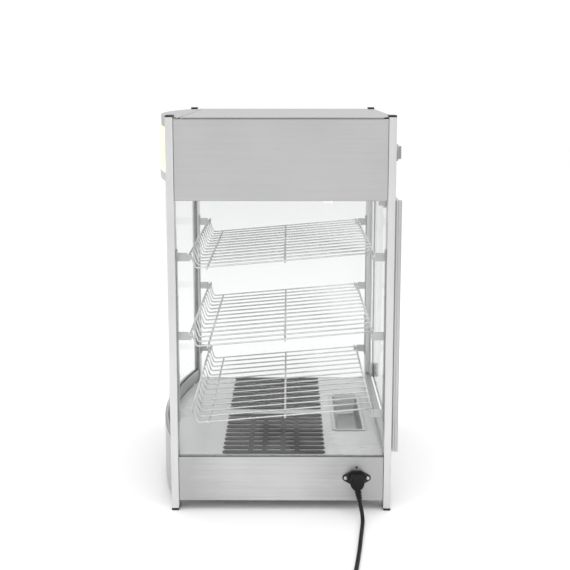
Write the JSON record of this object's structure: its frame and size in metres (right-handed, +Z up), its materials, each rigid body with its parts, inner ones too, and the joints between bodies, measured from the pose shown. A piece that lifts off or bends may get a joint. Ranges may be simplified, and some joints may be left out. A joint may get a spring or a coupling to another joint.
{
  "type": "hot food display case",
  "caption": "Countertop heated display case with a bowed glass front, lit sign, glazed sides, rear swing door, tilted wire racks and a heated base.",
  "frame": {"origin": "centre of the box around the case, on the surface that its feet stand on, with the loose mains lead left out", "axes": "+Z up, -Y towards the customer and the bowed front, +Y towards the server and the door, +X towards the side with the power inlet"},
  "size_m": [0.7963, 0.456, 0.712],
  "materials": {
    "post_aluminium": "satin anodised extrusion",
    "sheet_steel": "fine brushed stainless sheet, folded",
    "deck_steel": "brighter stainless sheet, lightly brushed",
    "clear_glass": "clear toughened glass, polished edges",
    "sign_plastic": "translucent cream sign face, lit from behind",
    "lamp_glass": "opal lamp",
    "rack_chrome": "bright plated wire",
    "grate_iron": "dark grey coated grate",
    "heater_sheath": "heat-tinted sheathed rod",
    "knob_plastic": "silver-grey moulded knob",
    "black_plastic": "fine-textured black moulding",
    "lead_rubber": "black rubber-sheathed lead"
  },
  "bodies": {
    "case": {"base_plate": "sheet_steel", "cabin_lamp": "lamp_glass", "cable_coil": "lead_rubber", "control_panel": "sheet_steel", "deck_plate": "deck_steel", "door_catch": "sheet_steel", "foot_front_left": "black_plastic", "foot_front_right": "black_plastic", "foot_rear_left": "black_plastic", "foot_rear_right": "black_plastic", "front_glass": "clear_glass", "front_glass_channel": "post_aluminium", "heater_tray": "deck_steel", "heating_element": "heater_sheath", "hinge_bracket_bottom": "sheet_steel", "hinge_bracket_top": "sheet_steel", "hood_liner": "sheet_steel", "lead_connector": "lead_rubber", "lower_front_panel": "sheet_steel", "lower_rear_panel": "sheet_steel", "lower_side_panel_left": "sheet_steel", "lower_side_panel_right": "sheet_steel", "mains_plug": "black_plastic", "post_cap_front_left": "black_plastic", "post_cap_front_right": "black_plastic", "post_cap_rear_left": "black_plastic", "post_cap_rear_right": "black_plastic", "post_front_left": "post_aluminium", "post_front_right": "post_aluminium", "post_rear_left": "post_aluminium", "post_rear_right": "post_aluminium", "power_cable": "lead_rubber", "power_inlet": "black_plastic", "rack_support_front_left": "post_aluminium", "rack_support_front_right": "post_aluminium", "rack_support_rear_left": "post_aluminium", "rack_support_rear_right": "post_aluminium", "roof_bow_cover": "sheet_steel", "roof_plate": "sheet_steel", "side_glass_left": "clear_glass", "side_glass_right": "clear_glass", "sign_diffuser": "sign_plastic", "sign_lamp": "lamp_glass", "sign_trim": "post_aluminium", "thermostat": "sheet_steel", "upper_side_panel_left": "sheet_steel", "upper_side_panel_right": "sheet_steel"},
    "door": {"door_glass": "clear_glass", "door_handle": "post_aluminium", "door_clamp_top": "sheet_steel", "door_clamp_bottom": "sheet_steel"},
    "knob": {"thermostat_knob": "knob_plastic"},
    "power_rocker": {"power_switch_rocker": "black_plastic"},
    "lamp_rocker": {"lamp_switch_rocker": "black_plastic"},
    "top_rack": {"rack_top": "rack_chrome"},
    "middle_rack": {"rack_middle": "rack_chrome"},
    "bottom_rack": {"rack_bottom": "rack_chrome"},
    "pan": {"water_pan": "deck_steel"},
    "left_grate": {"deck_grate_left": "grate_iron"},
    "right_grate": {"deck_grate_right": "grate_iron"}
  },
  "joints": [
    {"name": "door_swing", "type": "hinge", "parent": "case", "child": "door", "pos_m": [-0.219, 0.217, 0.3385], "axis": [0, 0, 1], "range_deg": [0, 110]},
    {"name": "knob_turn", "type": "hinge", "parent": "case", "child": "knob", "pos_m": [0.093, 0.206, 0.638], "axis": [0, -1, 0], "range_deg": [0, 270]},
    {"name": "power_rocker_tip", "type": "hinge", "parent": "case", "child": "power_rocker", "pos_m": [-0.055, 0.2026, 0.638], "axis": [1, 0, 0], "range_deg": [0, 16]},
    {"name": "lamp_rocker_tip", "type": "hinge", "parent": "case", "child": "lamp_rocker", "pos_m": [-0.09, 0.2026, 0.638], "axis": [1, 0, 0], "range_deg": [0, 16]},
    {"name": "top_rack_lift", "type": "slide", "parent": "case", "child": "top_rack", "axis": [0, 0, 1], "range_m": [0, 0.04]},
    {"name": "middle_rack_lift", "type": "slide", "parent": "case", "child": "middle_rack", "axis": [0, 0, 1], "range_m": [0, 0.04]},
    {"name": "bottom_rack_lift", "type": "slide", "parent": "case", "child": "bottom_rack", "axis": [0, 0, 1], "range_m": [0, 0.04]},
    {"name": "pan_lift", "type": "slide", "parent": "case", "child": "pan", "axis": [0, 0, 1], "range_m": [0, 0.03]},
    {"name": "left_grate_lift", "type": "slide", "parent": "case", "child": "left_grate", "axis": [0, 0, 1], "range_m": [0, 0.03]},
    {"name": "right_grate_lift", "type": "slide", "parent": "case", "child": "right_grate", "axis": [0, 0, 1], "range_m": [0, 0.03]}
  ]
}
